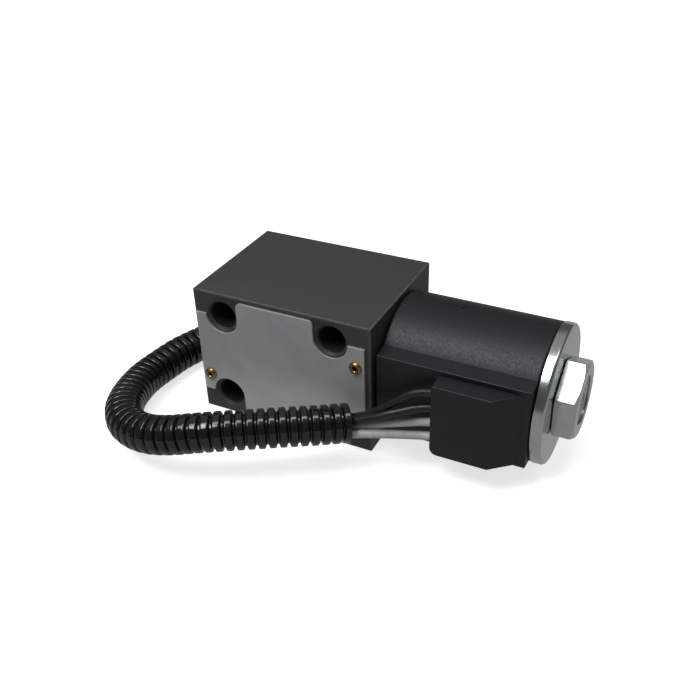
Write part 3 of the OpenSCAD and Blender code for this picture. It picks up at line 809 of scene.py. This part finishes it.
def valve_block():
    """The CAD block with its bores, cut to a block whose edges are worn round."""
    body = cad_copy("valve_body", "valve_block")
    low, high = (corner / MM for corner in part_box("valve_body"))
    carve(body, block("round", low, high, BLOCK_EDGE, 4), "INTERSECT", crease=15)
    finish_piece(body, "cast_body", "root", ["valve_body"])


def name_plate():
    """The CAD plate with its flats made whole and its edges slightly rounded."""
    sheet = cad_copy("name_plate", "name_plate_sheet")
    with editing(sheet) as edit:
        bmesh.ops.dissolve_limit(edit, angle_limit=math.radians(0.2), verts=edit.verts,
                                 edges=edit.edges)
    round_edges(sheet, 0.06, 2, 50)
    finish_piece(settle(sheet), "plate_aluminium", "root", ["name_plate"])


def rivets():
    """Two hollow eyelets, each with a rolled head."""
    heads = [lathe("eyelet", [
        (0.75, -49.85, 0.2), (1.05, -50.3, 0.25), (1.7, -50.32, 0.45), (2.2, -49.75, 0.35),
        (2.2, -49.32, 0.1), (1.23, -49.32, 0), (1.23, -44.0, 0), (0.75, -44.0, 0),
    ], None, segments=48, at=at) for at in RIVETS]
    finish_piece(settle(joined("plate_eyelets", heads)), "rivet_brass", "root", ["plate_rivets"])


def port_seals():
    """O-rings in the mounting face, slightly flattened."""
    rings = [lathe("ring", [
        (4.35, -1.28, 0.3), (6.05, -1.28, 0.3), (6.05, -0.03, 0.45), (4.35, -0.03, 0.45),
    ], None, segments=64, at=at) for at in PORTS]
    finish_piece(settle(joined("port_seals", rings)), "seal_rubber", "root", ["port_orings"])


def end_plug():
    """Chamfered hexagon head with a centre dimple, on a grooved shank with the spring's cup."""
    face, seat = END_PLUG_X, BODY_X[0]
    head = prism("end_plug_hex", hexagon(END_PLUG_AF, 0), face, seat, "X", 0.25, 2)
    cap = lathe("cap", [(0, face, 0), (10.4, face, 0.3), (13.2, face + 1.6, 0.5),
                        (13.2, seat + 0.05, 0), (0, seat + 0.05, 0)], None)
    carve(head, cap, "INTERSECT")
    shank = lathe("shank", [
        (0, -36.0, 0), (9.0, -36.0, 0), (9.0, -32.4, 0), (9.45, seat, 0), (9.45, -31.45, 0.1),
        (7.9, -31.45, 0.1), (7.9, -29.45, 0.1), (9.45, -29.45, 0.1), (9.45, -24.0, 0.3),
        (0, -24.0, 0)], None)
    carve(head, shank, "UNION")
    cup = lathe("cup", [(0, CUP_X, 0), (CUP_R, CUP_X, 0.3), (CUP_R, -23.5, 0), (0, -23.5, 0)],
                None)
    carve(head, cup, "DIFFERENCE")
    dimple = lathe("dimple", [(0, -38, 0), (3.2, -38, 0), (2.6, face + 0.5, 0.2),
                              (0, face + 0.5, 0)], None)
    carve(head, dimple, "DIFFERENCE")
    finish_piece(settle(head), "zinc_steel", "root", ["end_plug"])


SPRING_X = (CUP_X + 0.05, -23.85)    # its fixed end, and its moving end at rest
SPRING_R = 4.9
SPRING_WIRE_R = 0.55
SPRING_TURNS = 4


def spring():
    """Coil spring from the plug's cup to the spool's seat."""
    angle = np.linspace(0, 2 * np.pi * SPRING_TURNS, 48 * SPRING_TURNS + 1)[:, None]
    turn = np.linspace(0, 2 * np.pi, 12, endpoint=False)[None, :]
    low, high = SPRING_X[0] + SPRING_WIRE_R, SPRING_X[1] - SPRING_WIRE_R
    middle = low + (high - low) * angle / angle[-1]
    reach = SPRING_R + SPRING_WIRE_R * np.cos(turn)
    rings = np.stack([
        middle + SPRING_WIRE_R * np.sin(turn),
        AXIS_Y + reach * np.cos(angle),
        reach * np.sin(angle),
    ], 2)
    piece = tube("return_spring_coil", rings, "spring_steel", ["return_spring"])
    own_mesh(piece)


# ---------- Coil ----------

COIL_X = (33.55, 83.95)
COIL_R = 22.75
PAD_INSET = 0.4          # at both ends of the coil
PAD_Y = AXIS_Y - 22.95
BOX_X = (54.75, 81.45)
BOX_Y = AXIS_Y - 29.45
BOX_Z = (-13.25, 12.45)
BOX_CORNER = 2.5         # radius of its lower corner by the leads
GATE_X, GATE_TILT = 52.0, 8      # where the gate mark is, and its degrees from the top
YOKE_R = 20.55
TUBE_R = 9.6


def coil_moulding():
    """Coil cylinder with its flat pad, terminal box and gate mark, bored for the yoke."""
    near, far = COIL_X
    coil = lathe("coil_moulding", [
        (0, near, 0), (COIL_R, near, 0.9), (COIL_R, far, 0.9), (0, far, 0),
    ], None, segments=192)
    edge = [(PAD_Y, 14.05), (-42, 14.8), (-15, 14.8)]
    outline = [*edge, *[(y, -z) for y, z in reversed(edge)]]
    pad = prism("pad", outline, near + PAD_INSET, far - PAD_INSET, "X", 0.32, 3)
    carve(coil, pad, "UNION")
    carve(coil, terminal_box(), "UNION")
    gate = lathe("gate", [(0, 22.3, 0), (1.9, 22.3, 0), (1.9, 22.95, 0.15), (1.5, 22.95, 0.1),
                          (1.3, 22.8, 0), (0, 22.8, 0)], None, segments=32, at=(0, 0))
    tilt = Euler((math.radians(90 - GATE_TILT), 0, 0)).to_matrix().to_4x4()
    gate.data.transform(Matrix.Translation(Vector((GATE_X, AXIS_Y, 0)) * MM) @ tilt)
    carve(coil, gate, "UNION")
    bore = lathe("bore", [
        (0, near - 1, 0), (TUBE_R, near - 1, 0), (TUBE_R, 36.0, 0), (YOKE_R, 36.0, 0),
        (YOKE_R, far + 1, 0), (0, far + 1, 0),
    ], None)
    carve(coil, bore, "DIFFERENCE")
    finish_piece(settle(coil), "coil_plastic", "root", ["coil_housing"])


def terminal_box():
    """Box on the pad: its front slopes back towards the nut, and one corner is round."""
    plan = [(BOX_X[0], AXIS_Y), (BOX_X[0], BOX_Y), (BOX_X[1] - 7.9, BOX_Y),
            (BOX_X[1], PAD_Y + 0.15), (BOX_X[1], AXIS_Y)]
    box = prism("box", plan, *BOX_Z, "Z", 0.0)
    front = rounded([(BOX_X[0], BOX_Z[0], BOX_CORNER), (BOX_X[1], BOX_Z[0], 0),
                     (BOX_X[1], BOX_Z[1], 0), (BOX_X[0], BOX_Z[1], 0)], 8)
    carve(box, prism("front", [tuple(p) for p in front], -60, -10, "Y"), "INTERSECT")
    round_edges(box, 0.38, 3)
    return box


# ---------- Washer, nut and tube end ----------

WASHER_END = 87.55
NUT_X = (87.75, 94.75)
NUT_AF = 24
NUT_TURN = 34            # degrees from +Y to its first corner


def nut():
    """Hexagon nut with chamfered corners and a bore that the core tube fills."""
    seat, face = NUT_X
    body = prism("retaining_nut_hex", hexagon(NUT_AF, NUT_TURN), seat, face, "X", 0.3, 3)
    cap = lathe("cap", [(0, seat, 0), (13.0, seat, 0.3), (14.2, seat + 0.6, 0.3),
                        (14.2, face - 1.3, 0.6), (11.7, face, 0.4), (0, face, 0)],
                None, segments=128)
    carve(body, cap, "INTERSECT")
    bore = lathe("bore", [(0, 87, 0), (8.0, 87, 0), (8.0, face - 0.3, 0), (8.5, face + 0.25, 0),
                          (0, face + 0.25, 0)], None)
    carve(body, bore, "DIFFERENCE")
    finish_piece(settle(body), "zinc_steel", "root", ["retaining_nut"])


def flat_ring(name, inner, outer, low, high, slot, node, segments):
    """Ring between two stations; inner and outer are each a radius and its two corner radii."""
    (r, r_near, r_far), (s, s_near, s_far) = inner, outer
    settle(lathe(name, [(r, low, r_near), (s, low, s_near), (s, high, s_far), (r, high, r_far)],
                 slot, replaces=[node], segments=segments))


def turned_parts():
    """The round parts on the spool axis that show."""
    flat_ring("end_washer_disc", (9.7, 0.15, 0.15), (23.0, 0.25, 1.0), COIL_X[1], WASHER_END,
              "zinc_steel", "end_washer", 192)
    flat_ring("nut_seal_ring", (9.7, 0.03, 0.03), (11.5, 0.08, 0.08), WASHER_END, NUT_X[0],
              "seal_rubber", "nut_seal", 128)
    flat_ring("coil_seal_ring", (10.2, 0.1, 0.1), (20.0, 0.3, 0.3), BODY_X[1], COIL_X[0],
              "seal_rubber", "coil_front_seal", 128)
    settle(lathe("override_plunger", [
        (0, 82.62, 0), (1.95, 82.62, 0.1), (1.95, 86.2, 0.1), (3.2, 86.2, 0.15),
        (3.2, 87.8, 0.15), (1.95, 87.8, 0.1), (1.95, 94.05, 0.45), (0, 94.05, 0),
    ], "pin_brass", "override_pin", ["override_pin"], segments=64))


valve_block()
name_plate()
rivets()
port_seals()
end_plug()
spring()
coil_moulding()
nut()
turned_parts()


# ---------- Floor and light ----------

FLOOR_HALF = 3.0         # metres
FLOOR_DROP = 0.0002      # metres below the surface that the valve stands on
LAMP_DISTANCE = 0.9
LAMP_TARGET = (30, -24, 0)
# Brightness of the room against height, from straight down (0) to straight up (1)
ROOM = ((0.0, 0.38), (0.47, 0.38), (0.53, 0.10), (0.72, 0.12), (0.88, 0.40), (1.0, 0.45))
ROOM_BLUE = 0.985        # share of the brightness that its blue has
DARK_SIDE = (0.456, -0.890, 0)   # where the room's wall stands higher
WALL_RISE = 0.3


def floor():
    """Plain pale sheet that shows to the camera but throws no light on the valve."""
    z = FLOOR_Z * MM - FLOOR_DROP
    corners = [(x * FLOOR_HALF, y * FLOOR_HALF, z) for x, y in ((-1, -1), (1, -1), (1, 1), (-1, 1))]
    sheet = bpy.data.meshes.new("floor")
    sheet.from_pydata(corners, [], [(0, 1, 2, 3)])
    piece = bpy.data.objects.new("floor", sheet)
    bpy.context.scene.collection.objects.link(piece)
    s = Shader("floor")
    s.set(Base_Color=(0.8, 0.8, 0.8, 1), Roughness=1.0, Specular_IOR_Level=0.0,
          Emission_Color=(1, 1, 1, 1), Emission_Strength=0.72)
    sheet.materials.append(s.material)
    piece.visible_glossy = piece.visible_diffuse = piece.visible_shadow = False


def softbox(name, direction, sides, power, colour, turn=0):
    """Rectangular lamp that faces the middle of the valve from a direction."""
    light = bpy.data.lights.new(name, "AREA")
    light.shape, light.energy, light.color = "RECTANGLE", power, colour
    light.size, light.size_y = sides
    lamp = bpy.data.objects.new(name, light)
    way = Vector(direction).normalized()
    lamp.location = Vector(LAMP_TARGET) * MM + way * LAMP_DISTANCE
    facing = way.to_track_quat("Z", "Y").to_matrix() @ Matrix.Rotation(math.radians(turn), 3, "Z")
    lamp.rotation_euler = facing.to_euler()
    bpy.context.scene.collection.objects.link(lamp)


def surroundings():
    """Soft room: a pale table below, dim walls, and a broad glow overhead."""
    world = bpy.data.worlds.new("room")
    room = Nodes(world)
    place = room.add("ShaderNodeTexCoord").outputs["Generated"]
    split = room.add("ShaderNodeSeparateXYZ")
    room.put(split.inputs[0], place)
    up = split.outputs["Z"]
    towards = room.add("ShaderNodeVectorMath", operation="DOT_PRODUCT")
    room.put(towards.inputs[0], place)
    room.put(towards.inputs[1], DARK_SIDE)
    wall = room.math("MULTIPLY", room.math("MAXIMUM", towards.outputs["Value"], 0.0),
                     room.math("MAXIMUM", up, 0.0))
    height = room.math("ADD", room.math("MULTIPLY", up, 0.5), 0.5)
    height = room.math("SUBTRACT", height, room.math("MULTIPLY", wall, WALL_RISE))
    ramp = room.add("ShaderNodeValToRGB")
    ramp.color_ramp.interpolation = "EASE"
    stops = ramp.color_ramp.elements
    while len(stops) < len(ROOM):
        stops.new(0.5)
    for stop, (at, level) in zip(stops, ROOM):
        stop.position = at
        stop.color = (level, level, level * ROOM_BLUE, 1)
    room.put(ramp.inputs[0], height)
    room.put(room.tree.nodes["Background"].inputs["Color"], ramp.outputs[0])
    bpy.context.scene.world = world


floor()
surroundings()
softbox("key", (-0.20, -0.48, 0.85), (0.26, 0.26), 2.3, (0.94, 0.97, 1.0))
softbox("strip", (-0.10, -0.18, 0.97), (1.10, 0.22), 3.7, (0.92, 0.95, 1.0), 62)
bpy.context.scene.view_settings.view_transform = "Standard"
bpy.context.scene.view_settings.look = "None"
